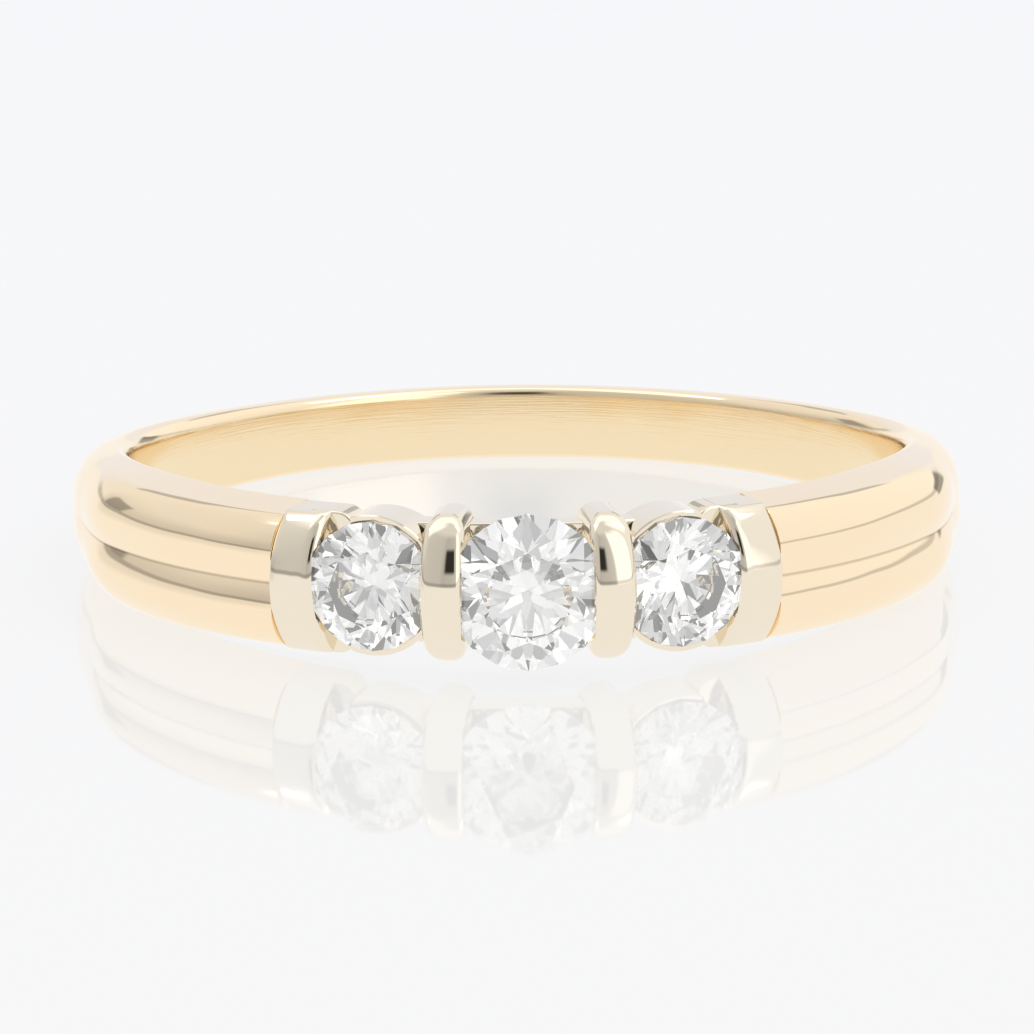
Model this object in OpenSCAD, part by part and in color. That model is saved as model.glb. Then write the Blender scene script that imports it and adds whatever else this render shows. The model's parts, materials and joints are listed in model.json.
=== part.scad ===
// Bar-set wedding band lying on its side.
// The ring is drawn round the Z axis with its head towards -Y, then laid down so that
// it rests on the undersides of both shoulders and of the back. Millimetres.

/* [Finger hole] */
// Diameter of the finger hole
finger_d = 17.2; // [16.5:0.1:18.5]

/* [Shank] */
// Width of the band at the back
back_w = 1.74; // [1.6:0.02:2]
// Width of the band where it meets the head
head_w = 3.24; // [3.24:0.02:3.6]
// Wall of the band at the back
back_t = 1.28; // [1.1:0.02:1.4]
// Wall of the band where it meets the head, before the groove is sunk
head_t = 1.6; // [1.4:0.05:1.6]
// How far the groove between the two lobes of a shoulder is sunk
groove_d = 0.27; // [0.1:0.01:0.35]
// Share of the half width that the groove's flanks take up
groove_w = 0.66; // [0.4:0.01:0.8]
// How full the outer face is: 2 is an ellipse, and more is squarer
fullness = 2.5; // [2:0.1:2.8]
// Width of the finger hole's wall at the back
inner_back_w = 1.27; // [1.1:0.01:1.3]
// Width of the finger hole's wall at the head
inner_head_w = 3.18; // [3.1:0.01:3.18]
// Angle from the middle of the head at which the shank starts
joint_angle = 32.4; // [31:0.1:34]

/* [Stones] */
// Diameter of the middle stone
centre_d = 3.36; // [3.2:0.01:3.4]
// Diameter of each side stone
side_d = 2.8; // [2.7:0.01:2.85]
// Angle from the middle of the head to a side stone
side_angle = 19.6; // [19.4:0.1:19.8]
// Table width as a share of the stone
table_share = 0.57; // [0.53:0.01:0.62]
// Crown angle
crown_angle = 34.5; // [33:0.5:36]
// Pavilion angle
pavilion_angle = 40; // [39:0.5:40.5]
// Girdle height as a share of the stone
girdle_share = 0.026; // [0.02:0.001:0.03]
// How far each point at the back of a stone stays from the finger
culet_gap = 0.03; // [0.02:0.01:0.1]

/* [Setting] */
// Width of an inner bar
bar_w = 0.95; // [0.9:0.01:1]
// Length of an inner bar, from the ring's top face to its bottom face
bar_l = 3.2; // [3:0.02:3.24]
// Angle from the middle of the head to an inner bar
bar_angle = 10.1; // [10:0.05:10.2]
// Height of an inner bar's crown above the finger hole
bar_rise = 2; // [1.94:0.02:2.04]
// How far the crown of an inner bar drops towards its ends
bar_drop = 0.9; // [0.6:0.01:0.94]
// Rounding of an inner bar's ends, seen from the front
bar_round = 0.4; // [0.1:0.05:0.45]
// Length of an end bar at the finger hole
end_l = 3.2; // [3:0.02:3.24]
// Angle from the middle of the head at which an end bar starts
end_from = 26.2; // [26:0.1:26.6]
// Height of an end bar's crown above the finger hole
end_rise = 1.6; // [1.6:0.01:1.7]
// How far the crown of an end bar drops towards its ends
end_drop = 0.84; // [0.6:0.01:0.85]
// How far the ends of an end bar lean in towards its crown, in degrees
end_lean = 7; // [4:0.5:9]
// How far the stones and what stands round them are set towards the top face
head_lift = 0.1; // [0:0.02:0.12]
// Wall of the gallery that carries the bars
gallery_t = 0.6; // [0.5:0.02:0.64]
// Wall of the foot of an end bar
foot_t = 0.68; // [0.66:0.02:0.8]
// Width of the gallery behind the middle stone
gallery_w = 2.6; // [2.4:0.05:2.8]
// Diameter of the cup round the inner half of a side stone
cup_d = 3.04; // [2.96:0.02:3.1]
// Angle from the middle of the head at which a cup ends and a foot starts
notch_angle = 22.8; // [22.5:0.1:23]
// Rounding of a foot beside the notch, seen from the front
foot_round = 0.45; // [0.2:0.05:0.5]
// Width of the light hole under a stone, as a share of the stone
hole_share = 0.42; // [0.35:0.01:0.43]

/* [Fit] */
// Clearance between a stone and its seat
seat_gap = 0.03; // [0.02:0.01:0.05]
// Clearance between the setting and each end of the shank
joint_gap = 0.02; // [0.01:0.01:0.04]

/* [Hidden] */
$fn = 96;

finger_r = finger_d / 2;

// The taper: 0 at the back of the ring and 1 at the head. It starts and ends at these
// places along the ring, as cosines of the angle from the middle of the head. The finger
// hole's wall, the band's wall and the groove each have a stretch of their own.
taper_start = -1;
taper_end = 0.6;
inner_start = -0.65;
inner_end = 0.9;
wall_start = 0.17;
wall_end = 0.45;
groove_start = 0;
groove_end = 0.5;
// Where the side face meets the outer face, as a share of the half width
back_corner = 0.97;
head_corner = 0.875;
// The rim, where the band is widest. It is this far from the finger hole at the least, and
// further by a share of what the hole's edge is rounded. The knuckle halves the rounding.
least_rim = 0.04;
rim_share = 0.8;
rim_drop = 0.03;
knuckle_out = 0.3;
knuckle_up = 0.7;

function smooth(t) = let (c = min(1, max(0, t))) c * c * (3 - 2 * c);
function between(a, start, end) = smooth((cos(a) - start) / (end - start));
function blend(a, back, head) = back + (head - back) * between(a, taper_start, taper_end);
function half_w(a) = blend(a, back_w, head_w) / 2;
function wall(a) = back_t + (head_t - back_t) * between(a, wall_start, wall_end);
function groove(a) = groove_d * between(a, groove_start, groove_end);
function corner(a) = blend(a, back_corner, head_corner);
function hole_edge(a) =
    (inner_back_w + (inner_head_w - inner_back_w) * between(a, inner_start, inner_end)) / 2;

// Height of the outer face above the finger hole, at a share u of the half width
function face_t(a, u) =
    wall(a) * pow(1 - pow(abs(u), fullness), 1 / fullness)
    - groove(a) * pow(max(0, 1 - abs(u) / groove_w), 2);

// One cross-section of the shank as [radius, z] points, from the bottom over the outer
// face to the top. It reaches inside the finger hole, which is cut afterwards, and the
// line to the knuckle is carried on so far that the cut leaves it at the hole's edge.
face_steps = 6;
edge_points = 3;
inside = 0.1;
function section(a) =
    let (h = half_w(a), edge = hole_edge(a), round_z = h - rim_drop - edge)
    let (rim = least_rim + rim_share * round_z, out = knuckle_out * rim, up = knuckle_up * round_z)
    let (half = [[finger_r - inside, edge - up * inside / out],
                 [finger_r + out, edge + up],
                 [finger_r + rim, edge + round_z]])
    concat(
        [for (p = half) [p[0], -p[1]]],
        [for (k = [-face_steps : face_steps])
            let (u = corner(a) * k / face_steps) [finger_r + face_t(a, u), u * h]],
        [half[2], half[1], half[0]]);
function at(a, p) = [p[0] * sin(a), -p[0] * cos(a), p[1]];

// An end face of the shank as strips across it, each from the lower half to the upper one
function cap_strips() = [
    for (k = [0 : middle - 2]) [k, k + 1, section_n - 2 - k, section_n - 1 - k],
    [middle - 1, middle, middle + 1]];

stations = 60;
middle = edge_points + face_steps;
section_n = 2 * middle + 1;
shank_from = joint_angle + asin(joint_gap / finger_r);
function station(i) = shank_from + i * (360 - 2 * shank_from) / stations;

// How the ring lies: the tangent of its tilt at which the lowest point of the front
// half is as low as the lowest point of the back half
function lowest(t, from, to) =
    max([for (i = [from : to]) for (p = section(station(i))) -p[1] - p[0] * cos(station(i)) * t]);
function settle(low, high, n) = n == 0 ? (low + high) / 2 : let (mid = (low + high) / 2)
    lowest(mid, 0, stations / 4) > lowest(mid, stations / 4, stations / 2)
        ? settle(mid, high, n - 1) : settle(low, mid, n - 1);
lie_slope = settle(0, 0.2, 16);
lie_tilt = atan(lie_slope);
lie_z = lowest(lie_slope, 0, stations / 2) * cos(lie_tilt);

// Stones: a half girdle, the heights above and below the girdle's middle, and the
// radius at which each girdle lies
function half_girdle(d) = d * girdle_share / 2;
function table_z(d) = half_girdle(d) + d / 2 * (1 - table_share) * tan(crown_angle);
function culet_z(d) = half_girdle(d) + d / 2 * tan(pavilion_angle);
function stone_r(d) = finger_r + culet_gap + culet_z(d);
lie_y = (stone_r(centre_d) + table_z(centre_d) - finger_r - back_t) / 2;

// Star and lower girdle facets meet the main facets at these shares of the radius
star_share = 0.76;
lower_share = 0.24;
mains = 8;
half_step = 180 / mains;

inner_bar_r = finger_r + bar_rise;
end_bar_r = finger_r + end_rise;
// Flat rim at the finger hole's edge, from which the ends of an end bar lean in
end_rim = 0.12;
// A cup's rim stands this far below the girdle, and it stops this angle short of the notch
cup_low = 0.05;
cup_stop = 0.5;
cup_r = stone_r(side_d) - half_girdle(side_d) - cup_low;
// The setting is drawn this far into the finger hole, which is cut afterwards
stock = 0.5;
// Room above a seat, clear of the bars
beyond = 2;
// Half the angle of the stretch of barrel that an inner bar is cut from
bar_stretch = 5;
// Joined stretches of the setting run this angle into each other
lap = 1;
// The most surfaces that a line through a solid meets
convex = 10;

// Turns the ring from its own axis to how it lies
module laid() {
    translate([0, lie_y, lie_z]) rotate([-lie_tilt, 0, 0]) children();
}

// Places what is drawn along +Z so that it points outwards at an angle from the head
module outward(a) {
    rotate([0, 0, a]) rotate([90, 0, 0]) children();
}

module lifted() {
    translate([0, 0, head_lift]) children();
}

module finger_hole() {
    cylinder(r = finger_r, h = 4 * head_w, center = true);
}

module shank() {
    points = [for (i = [0 : stations]) for (p = section(station(i))) at(station(i), p)];
    last = stations * section_n;
    sides = [for (i = [0 : stations - 1]) for (k = [0 : section_n - 1])
        let (next = (k + 1) % section_n, row = i * section_n)
            each [[row + k, row + next, row + section_n + k],
                  [row + next, row + section_n + next, row + section_n + k]]];
    start_cap = [for (strip = cap_strips()) [for (k = [len(strip) - 1 : -1 : 0]) strip[k]]];
    end_cap = [for (strip = cap_strips()) [for (k = strip) last + k]];
    color("#e9bf78") laid() difference() {
        polyhedron(points, concat(sides, start_cap, end_cap), convex);
        finger_hole();
    }
}

// A stretch of ring between two angles whose outer face is a barrel
module barrel(from, to, rise, drop, length) {
    bulge = (length * length / 4 + drop * drop) / (2 * drop);
    rotate([0, 0, from - 90]) rotate_extrude(angle = to - from) intersection() {
        translate([finger_r + rise - bulge, 0]) circle(bulge);
        translate([finger_r - stock, -length / 2]) square([rise + 2 * stock, length]);
    }
}

// A plain stretch of ring between two angles
module band(from, to, thick, length) {
    rotate([0, 0, from - 90]) rotate_extrude(angle = to - from)
        translate([finger_r - stock, -length / 2]) square([thick + stock, length]);
}

// A rectangle with round corners
module rounded(size, r) {
    square([size[0] - 2 * r, size[1]], center = true);
    square([size[0], size[1] - 2 * r], center = true);
    for (x = [-1, 1], y = [-1, 1])
        translate([x * (size[0] / 2 - r), y * (size[1] / 2 - r)]) circle(r);
}

module inner_bar() {
    intersection() {
        barrel(bar_angle - bar_stretch, bar_angle + bar_stretch, bar_rise, bar_drop, bar_l);
        outward(bar_angle) linear_extrude(inner_bar_r + beyond) rounded([bar_w, bar_l], bar_round);
    }
}

module end_bar() {
    foot_mid = (notch_angle + joint_angle) / 2;
    foot_w = 2 * end_bar_r * sin(joint_angle - notch_angle);
    difference() {
        union() {
            barrel(end_from, joint_angle, end_rise, end_drop, end_l);
            intersection() {
                band(notch_angle, joint_angle - lap, foot_t, end_l);
                outward(foot_mid) linear_extrude(end_bar_r)
                    translate([foot_w / 2 - finger_r * sin(foot_mid - notch_angle), 0])
                        rounded([foot_w, end_l], foot_round);
            }
        }
        for (face = [0, 1]) mirror([0, 0, face]) leaning_end();
    }
}

// What the lean takes off the end bars: a ring above a cone that falls outwards
module leaning_end() {
    rotate_extrude() translate([finger_r + end_rim, end_l / 2])
        polygon([[0, 0], [beyond, -beyond * tan(end_lean)], [beyond, end_l], [0, end_l]]);
}

// The half cup on the side of the inner bar
module cup() {
    intersection() {
        band(bar_angle, notch_angle - cup_stop, cup_r - finger_r + stock, bar_l);
        outward(side_angle) cylinder(d = cup_d, h = cup_r);
    }
}

// The room a stone needs: its own form turned round its axis, with clearance, open above
module seat(a, d) {
    outward(a) translate([0, 0, stone_r(d)]) rotate_extrude() polygon([
        [0, -culet_z(d) - 2 * seat_gap],
        [d / 2 + seat_gap, -half_girdle(d) - seat_gap],
        [d / 2 + seat_gap, half_girdle(d) + seat_gap],
        [d / 2 * table_share + 2 * seat_gap, table_z(d) + seat_gap],
        [d / 2 * table_share + 2 * seat_gap, beyond],
        [0, beyond]]);
    outward(a) cylinder(d = d * hole_share, h = finger_r + gallery_t);
}

module setting() {
    color("#d9d3c8") laid() difference() {
        union() {
            lifted() band(-bar_angle, bar_angle, gallery_t, gallery_w);
            for (side = [0, 1]) mirror([side, 0, 0]) {
                lifted() {
                    band(bar_angle - lap, end_from + lap, gallery_t, gallery_w);
                    inner_bar();
                    cup();
                }
                end_bar();
            }
        }
        lifted() {
            seat(0, centre_d);
            for (a = [-side_angle, side_angle]) seat(a, side_d);
        }
        finger_hole();
    }
}

// A round brilliant with its table towards +Z and its girdle in the plane z = 0
module brilliant(d) {
    r = d / 2;
    g = half_girdle(d);
    function ring_point(radius, a, z) = [radius * cos(a), radius * sin(a), z];
    function crown_z(radius, a) = g + (r - radius * cos(a)) * tan(crown_angle);
    function pavilion_z(radius, a) = -g - (r - radius * cos(a)) * tan(pavilion_angle);
    angles = [for (k = [0 : mains - 1]) 2 * half_step * k];
    table = [for (a = angles) ring_point(r * table_share, a, table_z(d))];
    stars = [for (a = angles)
        ring_point(r * star_share, a + half_step, crown_z(r * star_share, half_step))];
    girdle_top = [for (k = [0 : 2 * mains - 1]) ring_point(r, half_step * k, g)];
    girdle_low = [for (k = [0 : 2 * mains - 1]) ring_point(r, half_step * k, -g)];
    lowers = [for (a = angles)
        ring_point(r * lower_share, a + half_step, pavilion_z(r * lower_share, half_step))];
    culet = [[0, 0, -culet_z(d)]];
    star_at = mains;
    top_at = 2 * mains;
    low_at = 4 * mains;
    lower_at = 6 * mains;
    culet_at = 7 * mains;
    facets = [for (k = [0 : mains - 1]) let (
            next = (k + 1) % mains,
            before = (k + mains - 1) % mains,
            mid = 2 * k + 1,
            after = (2 * k + 2) % (2 * mains))
        each [
            [k, next, star_at + k],
            [k, star_at + k, top_at + 2 * k, star_at + before],
            [star_at + k, top_at + mid, top_at + 2 * k],
            [star_at + k, top_at + after, top_at + mid],
            [top_at + 2 * k, top_at + mid, low_at + mid, low_at + 2 * k],
            [top_at + mid, top_at + after, low_at + after, low_at + mid],
            [low_at + 2 * k, low_at + mid, lower_at + k],
            [low_at + mid, low_at + after, lower_at + k],
            [low_at + 2 * k, lower_at + k, culet_at, lower_at + before]]];
    table_facet = [[for (k = [mains - 1 : -1 : 0]) k]];
    polyhedron(concat(table, stars, girdle_top, girdle_low, lowers, culet),
        concat(table_facet, facets), convex);
}

module stone_at(a, d) {
    color("#f4f6f6") laid() lifted() outward(a) translate([0, 0, stone_r(d)]) brilliant(d);
}

module centre_stone() {
    stone_at(0, centre_d);
}

module side_stone_left() {
    stone_at(-side_angle, side_d);
}

module side_stone_right() {
    stone_at(side_angle, side_d);
}

shank();
setting();
centre_stone();
side_stone_left();
side_stone_right();
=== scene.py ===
import json
from math import atan2, cos, pi, radians, sin, sqrt, tan

import bmesh
import bpy
from mathutils import Matrix, Quaternion, Vector


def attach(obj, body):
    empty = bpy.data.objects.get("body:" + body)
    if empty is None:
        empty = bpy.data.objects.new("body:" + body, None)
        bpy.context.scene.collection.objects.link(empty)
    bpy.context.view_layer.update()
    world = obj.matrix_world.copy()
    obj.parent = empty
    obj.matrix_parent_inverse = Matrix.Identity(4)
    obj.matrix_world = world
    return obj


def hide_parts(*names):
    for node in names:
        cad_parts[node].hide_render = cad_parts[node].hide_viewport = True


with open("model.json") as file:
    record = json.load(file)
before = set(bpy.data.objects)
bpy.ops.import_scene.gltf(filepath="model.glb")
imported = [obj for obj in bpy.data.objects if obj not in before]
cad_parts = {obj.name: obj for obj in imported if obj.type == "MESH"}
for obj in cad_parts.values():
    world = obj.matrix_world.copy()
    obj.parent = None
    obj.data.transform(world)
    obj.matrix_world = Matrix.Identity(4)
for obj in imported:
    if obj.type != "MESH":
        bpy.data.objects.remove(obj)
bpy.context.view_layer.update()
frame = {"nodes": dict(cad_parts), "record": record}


# The shank: one band of yellow gold, forged and polished. It is plain at the back and widens
# towards the head into two lobes with a groove between them, and its ends are soldered to the
# head. It is drawn round the Z axis in millimetres, and then laid down as the finger hole lies.
mm = 0.001
bore = frame["record"]["mounts"][0]
finger_r = bore["dims"]["r_mm"]
upright = Vector((0, 0, 1))
lie = (Matrix.Translation(bore["pos_m"])
       @ upright.rotation_difference(Vector(bore["axis"])).to_matrix().to_4x4()
       @ Matrix.Scale(mm, 4))

# Widths outside and inside the finger hole, wall, and the share of the half width at which the
# outer face meets the rim, each at the back and at the head
back_w, head_w = 1.74, 3.24
inner_back_w, inner_head_w = 1.27, 3.18
back_t, head_t = 1.28, 1.6
back_corner, head_corner = 0.97, 0.875
# The groove's depth and its share of the half width, and the power of the face's curve
groove_d, groove_w, fullness = 0.27, 0.66, 2.5
# The round rim's least height, its height for its width, and how far it stays inside the width
least_rim, rim_share, rim_drop = 0.04, 0.8, 0.03
rim_bevel, corner_bevel = 0.03, 0.07
# Where the band meets the head, as an angle from the head's middle
joint = radians(32.4)

# Where a measure leaves its value at the back and reaches its value at the head, as cosines of
# the angle from the head's middle
width_change = (-1, 0.6)
inner_change = (-0.65, 0.9)
wall_change = (0.17, 0.45)
groove_change = (0, 0.5)


def blend(a, back, head, change):
    """A measure at an angle, which goes smoothly from its value at the back to that at the head."""
    start, end = change
    t = min(1, max(0, (cos(a) - start) / (end - start)))
    return back + (head - back) * t * t * (3 - 2 * t)


def face_height(a, u):
    """Height of the outer face above the finger hole, at a share u of the half width."""
    wall = blend(a, back_t, head_t, wall_change)
    sunk = blend(a, 0, groove_d, groove_change)
    return wall * (1 - abs(u) ** fullness) ** (1 / fullness) - sunk * max(0, 1 - abs(u) / groove_w) ** 2


face_steps, edge_steps, turn_steps = 18, 6, 300
merge_gap = 1e-4


def section(a):
    """The band's outline at an angle, as (radius, z), from the hole over the outer face."""
    half = blend(a, back_w, head_w, width_change) / 2
    edge = blend(a, inner_back_w, inner_head_w, inner_change) / 2
    round_z = half - rim_drop - edge
    rim = least_rim + rim_share * round_z
    turned = [pi / 2 * k / edge_steps for k in range(edge_steps + 1)]
    rounding = [(finger_r + rim * (1 - cos(t)), edge + round_z * sin(t)) for t in turned]
    corner = blend(a, back_corner, head_corner, width_change)
    face = [(finger_r + face_height(a, corner * k / face_steps), corner * half * k / face_steps)
            for k in range(-face_steps, face_steps + 1)]
    return [*((r, -z) for r, z in rounding), *face, *reversed(rounding)]


def around(a, r, z):
    """A point at an angle from the head's middle, a radius and a height."""
    return Vector((r * sin(a), -r * cos(a), z))


def whole_turn(point):
    return atan2(point.x, -point.y) % (2 * pi)


def soften(form, edges, width, segments):
    bmesh.ops.bevel(form, geom=edges, offset=width, offset_type="OFFSET", segments=segments,
                    profile=0.5, affect="EDGES", clamp_overlap=True, material=-1)


def piece_from(form, name, sharp):
    """Lays a finished form down and makes it an object that rides with the ring."""
    bmesh.ops.remove_doubles(form, verts=form.verts, dist=merge_gap)
    bmesh.ops.recalc_face_normals(form, faces=form.faces)
    form.transform(lie)
    mesh = bpy.data.meshes.new(name)
    form.to_mesh(mesh)
    form.free()
    mesh.shade_smooth()
    mesh.set_sharp_from_angle(angle=radians(sharp))
    made = bpy.data.objects.new(name, mesh)
    bpy.context.scene.collection.objects.link(made)
    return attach(made, "root")


band = bmesh.new()
place = band.verts.layers.int.new("place")
start = [band.verts.new(around(joint, *point)) for point in section(joint)]
for i, vert in enumerate(start):
    vert[place] = i
outline = [band.edges.new((a, b)) for a, b in zip(start, start[1:] + start[:1])]
bmesh.ops.spin(band, geom=start + outline, cent=(0, 0, 0), axis=(0, 0, 1),
               angle=2 * pi - 2 * joint, steps=turn_steps)
for vert in band.verts:
    a = whole_turn(vert.co)
    vert.co = around(a, *section(a)[vert[place]])
ends = [e for e in band.edges if e.is_boundary]
bmesh.ops.holes_fill(band, edges=ends, sides=0)
last = 2 * (face_steps + edge_steps + 1)


def lines_at(places):
    """The long edges of the band that run at these places of its outline."""
    return [e for e in band.edges
            if e.verts[0][place] == e.verts[1][place] and e.verts[0][place] in places
            and len(e.link_faces) == 2]


corner_lines = lines_at({edge_steps + 1, last - edge_steps - 1})
rim_lines = lines_at({edge_steps, last - edge_steps})
soften(band, rim_lines, rim_bevel, segments=3)
soften(band, [e for e in corner_lines if e.is_valid], corner_bevel, segments=4)
shank = piece_from(band, "shank_polished", sharp=24)
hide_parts("shank")


class Value:
    """An output of a shader node. Sums on it add Math nodes."""

    def __init__(self, finish, socket):
        self.finish = finish
        self.socket = socket

    def __add__(self, other):
        return self.finish.math("ADD", self, other)

    def __sub__(self, other):
        return self.finish.math("SUBTRACT", self, other)

    def __rsub__(self, other):
        return self.finish.math("SUBTRACT", other, self)

    def __mul__(self, other):
        return self.finish.math("MULTIPLY", self, other)

    def __truediv__(self, other):
        return self.finish.math("DIVIDE", self, other)

    def __pow__(self, other):
        return self.finish.math("POWER", self, other)

    def __abs__(self):
        return self.finish.math("ABSOLUTE", self)

    __radd__ = __add__
    __rmul__ = __mul__


class Finish:
    """A node tree that is being written, of a material or of the surroundings."""

    def __init__(self, tree):
        self.tree = tree
        tree.nodes.clear()

    def node(self, kind, settings, *inputs, output=0, **named):
        """Adds a node: its settings first, then its sockets, by place or by name."""
        made = self.tree.nodes.new("ShaderNode" + kind)
        for key, value in settings.items():
            if key == "stops":
                self.set_stops(made.color_ramp, value)
            else:
                setattr(made, key, value)
        for key, value in [*enumerate(inputs), *named.items()]:
            socket = made.inputs[key.replace("_", " ") if isinstance(key, str) else key]
            if isinstance(value, Value):
                self.tree.links.new(value.socket, socket)
            else:
                socket.default_value = value
        return Value(self, made.outputs[output] if made.outputs else None)

    def math(self, operation, *numbers):
        return self.node("Math", {"operation": operation}, *numbers)

    def parts_of(self, vector):
        """The x, y and z of a vector."""
        split = self.tree.nodes.new("ShaderNodeSeparateXYZ")
        self.tree.links.new(vector.socket, split.inputs[0])
        return [Value(self, out) for out in split.outputs]

    def set_stops(self, ramp, stops):
        """Writes (position, brightness) rows into a colour ramp."""
        while len(ramp.elements) < len(stops):
            ramp.elements.new(1)
        for element, (position, shade) in zip(ramp.elements, stops):
            element.position = position
            element.color = (shade, shade, shade, 1)

    def step(self, value, low, high):
        """0 where the value is under low and 1 where it is over high, smoothly between."""
        return self.node("MapRange", {"interpolation_type": "SMOOTHSTEP"}, value, low, high, 0.0, 1.0)

    def mixed(self, factor, first, second):
        return self.node("MixRGB", {}, factor, first, second)


def material(name):
    made = bpy.data.materials.new(name)
    made.use_nodes = True
    return made


def polished(name, colour, inside, roughness, waviness, groove_shade_and_soil):
    """A worn polished metal with a painted dark line along the groove's crease, partly painted shade and
    partly dirt.
    Inside the finger hole its colour is darker and deeper, a painted shade and painted reflection of the
    gold across the hole, and it is duller, with fine lines round the ring. Waviness is in millimetres."""
    made = material(name)
    finish = Finish(made.node_tree)
    own = finish.node("TexCoord", {}, output=3)
    on_ring = finish.node("Mapping", {"vector_type": "TEXTURE"}, own, tuple(lie.to_translation()),
                          tuple(lie.to_euler()), (mm, mm, mm))
    x, y, z = finish.parts_of(on_ring)
    radius = (x * x + y * y) ** 0.5
    inner = 1 - finish.step(radius, finger_r + 0.01, finger_r + 0.06)
    lined = finish.node("CombineXYZ", {}, finish.math("ARCTAN2", x, y) * 2.0, z * 14.0, radius)
    lines = finish.node("TexNoise", {}, lined, Scale=2.5, Detail=4.0)
    haze = finish.node("TexNoise", {}, on_ring, Scale=1.4, Detail=5.0)
    swell = finish.node("TexNoise", {}, on_ring, Scale=0.5, Detail=1.0)
    rough = roughness + inner * 0.1 + haze * 0.04
    swollen = finish.node("Bump", {}, Strength=1.0, Distance=waviness * mm, Height=swell)
    normal = finish.node("Bump", {}, Strength=inner * 0.3, Distance=0.01 * mm, Height=lines,
                         Normal=swollen)
    towards_head = y * -1 / radius
    # Painted shade, with some dirt: a thin dark brown line along the groove's crease on the outer face,
    # towards the head.
    shaded_groove_line = (1 - finish.step(abs(z), 0.01, 0.05)) * (1 - inner) * finish.step(towards_head, 0.1, 0.4)
    # Inside the finger hole the colour is painted shade: darker and deeper, standing for the hole's shadow
    # and the gold reflected across it.
    metal = finish.mixed(inner, (*colour, 1), (*inside, 1))
    shade_and_soil_colour = (0.3, 0.2, 0.12, 1)
    with_groove_shade = finish.mixed(shaded_groove_line * groove_shade_and_soil, metal, shade_and_soil_colour)
    surface = finish.node("BsdfPrincipled", {}, Base_Color=with_groove_shade, Metallic=1.0, Roughness=rough,
                          Normal=normal)
    finish.node("OutputMaterial", {}, surface)
    return made


# The outer colour, and inside the finger hole a darker, deeper colour that is painted shade and painted
# reflection of the gold across the hole.
yellow, yellow_shaded_hole = (1.0, 0.825, 0.59), (0.95, 0.78, 0.52)
# The last number sets how strong the painted shade and dirt along the crease is.
shank.data.materials.append(polished("yellow_gold", yellow, yellow_shaded_hole, roughness=0.04,
                                     waviness=0.03, groove_shade_and_soil=0.4))


# The head: two inner bars and two end bars of white gold on a curved gallery, with a foot under
# each end bar and a half cup round the inner side of each side stone. The bars are domed and
# worn round at their edges. Every part is a pillow on the ring, and the seats are cut into all.

# The stones that it holds: diameters, place, and a standard brilliant's proportions
centre_d, side_d = 3.36, 2.8
side_angle = radians(19.6)
table_share, girdle_share = 0.57, 0.026
crown_slope, pavilion_slope = tan(radians(34.5)), tan(radians(40))
# Their room: from the finger hole to a stone's tip and from a stone to its seat, and the light
# hole's share of a stone's width
culet_gap, seat_gap = 0.03, 0.03
hole_share = 0.42
# Inner bars: width, length, height over the finger hole, how far their ends fall, the round of
# their corners and edges, the radius of their top across, and how much they narrow at the ends
bar_angle = radians(10.1)
bar_w, bar_l, bar_rise, bar_drop = 0.95, 3.2, 2, 0.9
bar_round, bar_edge, bar_bow, bar_waist = 0.4, 0.15, 1.6, 0.13
# End bars: the same, with ends that lean in above a low rim, and a worn edge by the stone
end_from = radians(26.2)
end_l, end_rise, end_drop = 3.2, 1.6, 0.84
end_rim, end_lean = 0.12, tan(radians(7))
end_edge, end_worn = 0.06, 0.28
# How far the stones, inner bars, cups and gallery stand towards +Z of the band's middle
head_lift = 0.1
# Feet, from the notch beside the cup to the joint, then the gallery and the cups
notch = radians(22.8)
foot_t, foot_round, foot_edge = 0.68, 0.45, 0.05
gallery_t, gallery_w = 0.6, 2.6
cup_d, cup_low, cup_edge = 3.04, 0.05, 0.03
cup_stop = radians(0.5)
# How far parts run into their neighbours and into the finger hole before it is cut, and a height
# over the finger hole that is clear of every part
lap = radians(1)
stock = 0.5
clear_of_all = 4
side_points, corner_steps = 28, 5
seat_points, cup_points, bore_points = 96, 128, 720


def wrapped(columns, rows, shape):
    """A closed form made from a grid whose points are moved to shape(column, row)."""
    form = bmesh.new()
    bmesh.ops.create_grid(form, x_segments=columns, y_segments=rows, size=0.5)
    for vert in form.verts:
        column, row = round((vert.co.x + 0.5) * columns), round((vert.co.y + 0.5) * rows)
        vert.co = shape(column % columns, row)
    bmesh.ops.remove_doubles(form, verts=form.verts, dist=merge_gap)
    return form


def rectangle_point(share, half_x, half_z, corner):
    """A point on a rectangle with round corners, at a share of the way round it."""
    side, along = divmod(share * 4, 1)
    x, z = [(2 * along - 1, -1), (1, 2 * along - 1), (1 - 2 * along, 1), (-1, 1 - 2 * along)][int(side)]
    flat = Vector((x * half_x, z * half_z))
    kept = Vector((max(corner - half_x, min(half_x - corner, flat.x)),
                   max(corner - half_z, min(half_z - corner, flat.y))))
    return kept + (flat - kept).normalized() * corner


def pillow(half_x, half_z, corner, edge, height, put):
    """A block with round corners and edges under a top at height(x, z), placed by put(x, z, r)."""
    core = min(half_x, half_z)
    turned = [radians(90 * k / corner_steps) for k in range(corner_steps + 1)]
    over = [(edge * (1 - sin(t)), edge * (1 - cos(t))) for t in turned]
    inner = [(edge + (core - edge) * k / corner_steps, 0) for k in range(1, corner_steps + 1)]
    rows = [(core, None), (0, None), *sorted(over), *inner]

    def shape(column, row):
        inset, drop = rows[row]
        x, z = rectangle_point(column / (4 * side_points), half_x - inset, half_z - inset,
                               max(corner - inset, 0))
        return put(x, z, finger_r - stock if drop is None else height(x, z) - drop)

    return wrapped(4 * side_points, len(rows) - 1, shape)


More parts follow.
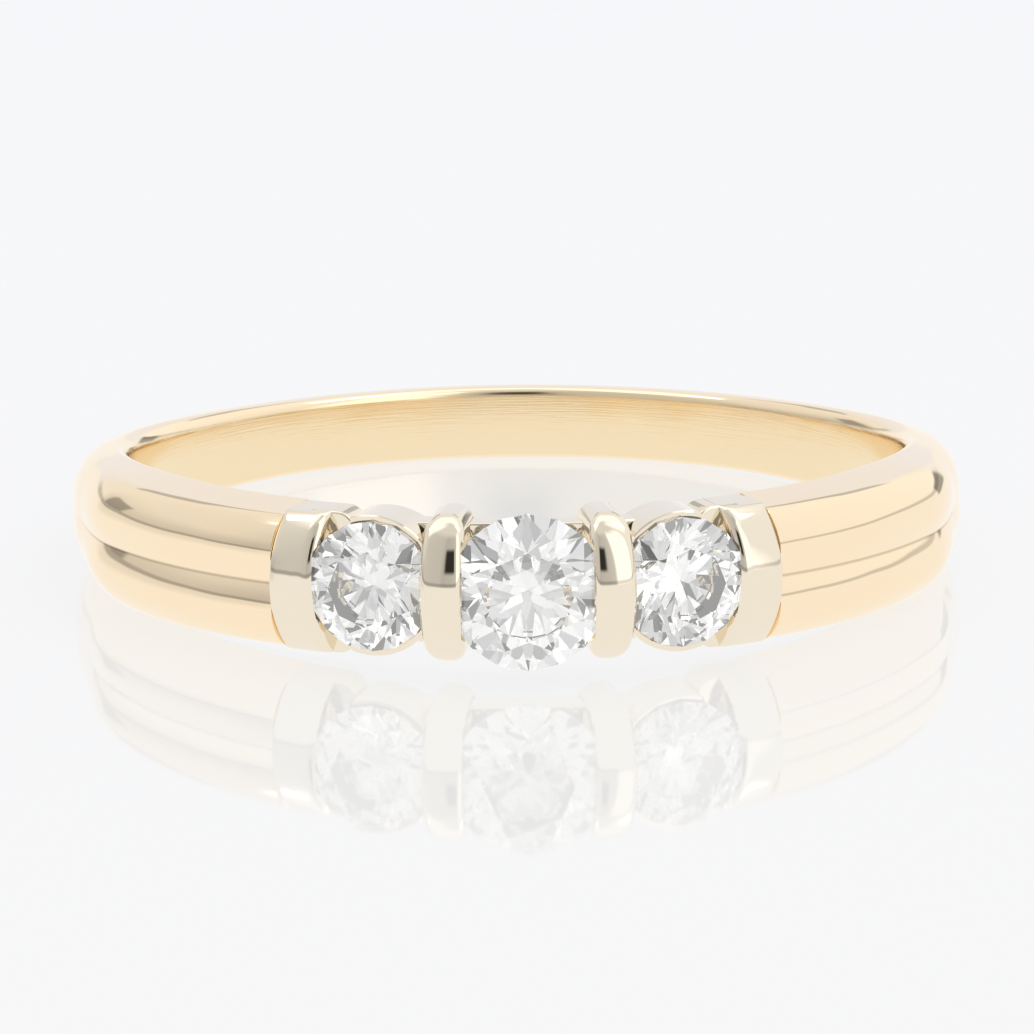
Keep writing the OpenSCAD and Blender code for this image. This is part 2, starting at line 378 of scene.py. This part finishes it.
def bulged(length, drop, z):
    """How far a barrel of this length and drop has fallen at z."""
    bulge = (length * length / 4 + drop * drop) / (2 * drop)
    return bulge - sqrt(bulge * bulge - z * z)


def worn(width, distance):
    """How far a worn edge has fallen at this distance from it."""
    return width - sqrt(width ** 2 - max(0, width - distance) ** 2)


def outward(a):
    """Turns what is drawn along Z so that it points outwards at the stones' height."""
    lifted = Matrix.Translation((0, 0, head_lift))
    return lifted @ Matrix.Rotation(a, 4, "Z") @ Matrix.Rotation(pi / 2, 4, "X")


def curved(start, end, run, shift):
    """Half the length of a stretch at the radius run, and what places a pillow on it."""
    return (end - start) * run / 2, lambda x, z, r: around((start + end) / 2 + x / run, r, shift(r, z))


def leaning(r, z):
    """The height that the lean of an end bar's ends leaves of z at a radius."""
    return z * (1 - max(0, r - finger_r - end_rim) * end_lean / (end_l / 2))


def turned_form(a, profile, columns):
    """A form turned round the axis that points outwards at an angle, from (radius, height) points."""
    def shape(column, row):
        radius, height = profile[row]
        t = 2 * pi * column / columns
        return outward(a) @ Vector((radius * cos(t), radius * sin(t), height))

    return wrapped(columns, len(profile) - 1, shape)


def half_girdle(d):
    return d * girdle_share / 2


def stone_r(d):
    """The radius of the middle of a stone's girdle, with its tip just outside the finger hole."""
    return finger_r + culet_gap + half_girdle(d) + d / 2 * pavilion_slope


def seat(a, d):
    """The room that a stone needs, its own form with clearance, and the light hole under it."""
    r, g, middle = d / 2, half_girdle(d), stone_r(d)
    beyond = finger_r + clear_of_all
    room = [(0, middle - g - r * pavilion_slope - 2 * seat_gap), (r + seat_gap, middle - g - seat_gap),
            (r + seat_gap, middle + g + seat_gap),
            (r * table_share + 2 * seat_gap, middle + g + r * (1 - table_share) * crown_slope + seat_gap),
            (r * table_share + 2 * seat_gap, beyond), (0, beyond)]
    hole = [(0, 0), (r * hole_share, 0), (r * hole_share, finger_r + gallery_t), (0, finger_r + gallery_t)]
    return [turned_form(a, room, seat_points), turned_form(a, hole, seat_points)]


def inner_bar():
    def crown(x, z):
        return finger_r + bar_rise - bulged(bar_l, bar_drop, z) - (bar_bow - sqrt(bar_bow ** 2 - x * x))

    def put(x, z, r):
        return outward(bar_angle) @ Vector((x * (1 - bar_waist * (2 * z / bar_l) ** 2), z, r))

    return pillow(bar_w / 2, bar_l / 2, bar_round, bar_edge, crown, put)


def end_bar():
    half, put = curved(end_from, joint, finger_r + end_rise, leaning)

    def crown(x, z):
        kept = leaning(finger_r + end_rise - bulged(end_l, end_drop, z), z)
        return finger_r + end_rise - bulged(end_l, end_drop, kept) - worn(end_worn, x + half)

    return pillow(half, end_l / 2, 0, end_edge, crown, put)


def foot():
    half, put = curved(notch, joint - lap, finger_r + foot_t, leaning)
    return pillow(half, end_l / 2, foot_round, foot_edge, lambda x, z: finger_r + foot_t, put)


def cup():
    r, top = cup_d / 2, stone_r(side_d) - half_girdle(side_d) - cup_low
    form = turned_form(side_angle, [(0, finger_r - stock), (r, finger_r - stock), (r, top - cup_edge),
                                    (r - cup_edge, top), (0, top)], cup_points)
    end = notch - cup_stop
    bmesh.ops.bisect_plane(form, geom=[*form.verts, *form.edges, *form.faces], plane_co=(0, 0, 0),
                           plane_no=(cos(end), sin(end), 0), clear_outer=True)
    bmesh.ops.holes_fill(form, edges=[e for e in form.edges if e.is_boundary], sides=0)
    return form


def gallery():
    half, put = curved(-end_from - lap, end_from + lap, finger_r + gallery_t,
                       lambda r, z: z + head_lift)
    return pillow(half, gallery_w / 2, 0, foot_edge, lambda x, z: finger_r + gallery_t, put)


def joined(forms):
    """One form from several, each with its faces outwards."""
    whole = bmesh.new()
    for form in forms:
        bmesh.ops.recalc_face_normals(form, faces=form.faces)
        mesh = bpy.data.meshes.new("part")
        form.to_mesh(mesh)
        form.free()
        whole.from_mesh(mesh)
        bpy.data.meshes.remove(mesh)
    return whole


def mirrored(form):
    form.transform(Matrix.Scale(-1, 4, (1, 0, 0)))
    return form


def carved(body, cutter):
    """The body with its overlapping parts made one and the cutter taken out of it."""
    both = []
    for form in (body, cutter):
        mesh = bpy.data.meshes.new("cut")
        form.to_mesh(mesh)
        form.free()
        both.append(bpy.data.objects.new("cut", mesh))
        bpy.context.scene.collection.objects.link(both[-1])
    taken = both[0].modifiers.new("carved", "BOOLEAN")
    taken.operation = "DIFFERENCE"
    taken.solver = "EXACT"
    taken.use_self = True
    taken.object = both[1]
    result = bmesh.new()
    result.from_object(both[0], bpy.context.evaluated_depsgraph_get())
    for used in both:
        bpy.data.meshes.remove(used.data)
    return result


sides = [make() for make in (inner_bar, end_bar, foot, cup)]
sides += [mirrored(make()) for make in (inner_bar, end_bar, foot, cup)]
bore_form = bmesh.new()
bmesh.ops.create_cone(bore_form, cap_ends=True, segments=bore_points, radius1=finger_r, radius2=finger_r,
                      depth=4 * head_w)
seats = [*seat(0, centre_d), *seat(side_angle, side_d), *seat(-side_angle, side_d), bore_form]
head = carved(joined([gallery(), *sides]), joined(seats))
setting = piece_from(head, "setting_polished", sharp=30)
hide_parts("setting")
# The outer colour, and inside the finger hole a darker painted shade and painted reflection; no painted
# shade along a crease here.
white, white_shaded_hole = (0.89, 0.80, 0.65), (0.86, 0.76, 0.6)
setting.data.materials.append(polished("white_gold", white, white_shaded_hole, roughness=0.03,
                                       waviness=0.01, groove_shade_and_soil=0.0))


# The stones: three round brilliants of clear diamond, as the CAD cut them. The little light of
# their own stands for the many bounces that the render leaves out.
diamond = material("diamond")
cut = Finish(diamond.node_tree)
clear = cut.node("BsdfPrincipled", {}, Base_Color=(1, 1, 1, 1), Roughness=0.0, IOR=2.42,
                 Transmission_Weight=1.0, Emission_Color=(1, 1, 0.98, 1), Emission_Strength=0.03)
cut.node("OutputMaterial", {}, clear)
for name in ("centre_stone", "side_stone_left", "side_stone_right"):
    stone = frame["nodes"][name]
    stone.data.materials.clear()
    stone.data.materials.append(diamond)


# The floor: a sheet of glossy white acrylic, lit evenly from all sides. It is left out of what the
# metal reflects, where the studio's own lower half stands for it.
floor_reach = 3
ground = bmesh.new()
bmesh.ops.create_grid(ground, x_segments=1, y_segments=1, size=floor_reach)
floor_mesh = bpy.data.meshes.new("floor")
ground.to_mesh(floor_mesh)
ground.free()
floor = bpy.data.objects.new("floor", floor_mesh)
bpy.context.scene.collection.objects.link(floor)
acrylic = material("floor")
pane = Finish(acrylic.node_tree)
matt = pane.node("BsdfDiffuse", {}, (0.12, 0.12, 0.12, 1))
glow = pane.node("Emission", {}, (0.97, 0.965, 0.955, 1), 0.85)
lit = pane.node("AddShader", {}, matt, glow)
gloss = pane.node("BsdfGlossy", {}, (1, 1, 1, 1), Roughness=0.045)
mirror_share = pane.node("Fresnel", {}, IOR=1.36)
pane.node("OutputMaterial", {}, pane.node("MixShader", {}, mirror_share, lit, gloss))
floor_mesh.materials.append(acrylic)
floor.visible_glossy = False


# The studio: white sheets all round and overhead, a brighter panel to the right of the camera,
# the camera's own dark shape, a dim line where floor and sheets meet, stands and two small lamps.
# Height is the angle above the floor, and bearing that from the head's front to +X, in degrees.
world = bpy.data.worlds.new("studio")
bpy.context.scene.world = world
world.use_nodes = True
sky = Finish(world.node_tree)
direction = sky.node("TexCoord", {}, output=0)
east, north, up = sky.parts_of(direction)
height = sky.math("ARCSINE", up) * (180 / pi)
bearing = sky.math("ARCTAN2", east, north * -1) * (180 / pi)

# The sheets, as (bearing, brightness)
sheets = [(-180, 0.92), (-168, 0.92), (-158, 0.9), (-143, 0.9), (-128, 0.86), (-90, 0.82), (-75, 0.74),
          (-60, 0.66), (-20, 0.6), (-16, 0.52), (12, 0.6), (22, 0.68), (25, 1.35), (60, 1.35),
          (66, 0.97), (150, 1.03), (165, 0.92), (180, 0.92)]


def lobe(low, high, blur, value):
    """1 where the value is between low and high, and 0 away from there."""
    return sky.step(value, low - blur, low) * (1 - sky.step(value, high, high + blur))


light = sky.node("ValToRGB", {"stops": [((b + 180) / 360, shade) for b, shade in sheets]},
                 bearing / 360 + 0.5)
sideways = sky.step(abs(bearing), 60.0, 80.0)
overhead = 0.8 + 0.5 * sideways * (1 - sky.step(height, 78.0, 86.0))
light = light + (overhead - light) * sky.step(height + sideways * 14, 66.0, 76.0)
left = lobe(-135, -70, 10, bearing)
left_low = left * (1 - sky.step(height, 8.0, 32.0))
camera_shape = lobe(-10, 6, 6, bearing) * lobe(25, 49, 7, height)
far_line = lobe(5, 7, 2.5, height) * (1 - sky.step(abs(bearing), 150.0, 160.0))
sheet_edge = lobe(152, 168, 3, abs(bearing)) * lobe(29, 37, 2, height)
left_stand = lobe(-134, -123, 3, bearing) * lobe(9, 19, 2, height)
for depth, dark in [(0.22, left_low), (0.94, camera_shape), (0.35, far_line), (0.4, sheet_edge),
                    (0.5, left_stand)]:
    light = light * (1 - depth * dark)
left_lamp = lobe(-113, -104, 2, bearing) * lobe(56, 62, 2, height)
right_lamp = lobe(94, 104, 2, bearing) * lobe(56, 74, 2, height)
lamp_power = 4
light = light + lamp_power * left_lamp
light = light + lamp_power * right_lamp
below = 0.97 - 0.14 * left * sky.step(height, -10.0, 0.0)
light = light + (below - light) * (1 - sky.step(height, 2.0, 5.0))
right_stand = lobe(139, 153, 3, bearing) * lobe(0, 8, 2, height)
light = light * (1 - 0.6 * right_stand)
cool = lobe(162, 180, 8, abs(bearing)) * lobe(6, 30, 4, height)
tint = sky.mixed(cool, (1, 1, 1, 1), (0.97, 1, 1.1, 1))
sky.node("OutputWorld", {}, sky.node("Background", {}, tint, light))


# The camera: a long lens close to the floor, in front of the head. The aim is how far the middle of
# the picture is from the finger hole's middle, to the right and up.
elevation = radians(15.3)
yaw = radians(1.25)
roll = radians(-0.47)
distance = 170 * mm
aim = Vector((0.009, -0.405, 0)) * mm
ring_centre = lie.to_translation()
toward = Vector((-sin(yaw) * cos(elevation), -cos(yaw) * cos(elevation), sin(elevation)))
lens_data = bpy.data.cameras.new("camera")
camera = bpy.data.objects.new("camera", lens_data)
bpy.context.scene.collection.objects.link(camera)
bpy.context.scene.camera = camera
turn = (-toward).to_track_quat("-Z", "Y") @ Quaternion((0, 0, 1), roll)
camera.rotation_mode = "QUATERNION"
camera.rotation_quaternion = turn
camera.location = ring_centre + toward * distance + turn @ aim
lens_data.sensor_width = 36
lens_data.lens = 265.5
lens_data.clip_start = 0.01
lens_data.clip_end = 10
bpy.context.scene.view_settings.view_transform = "Standard"
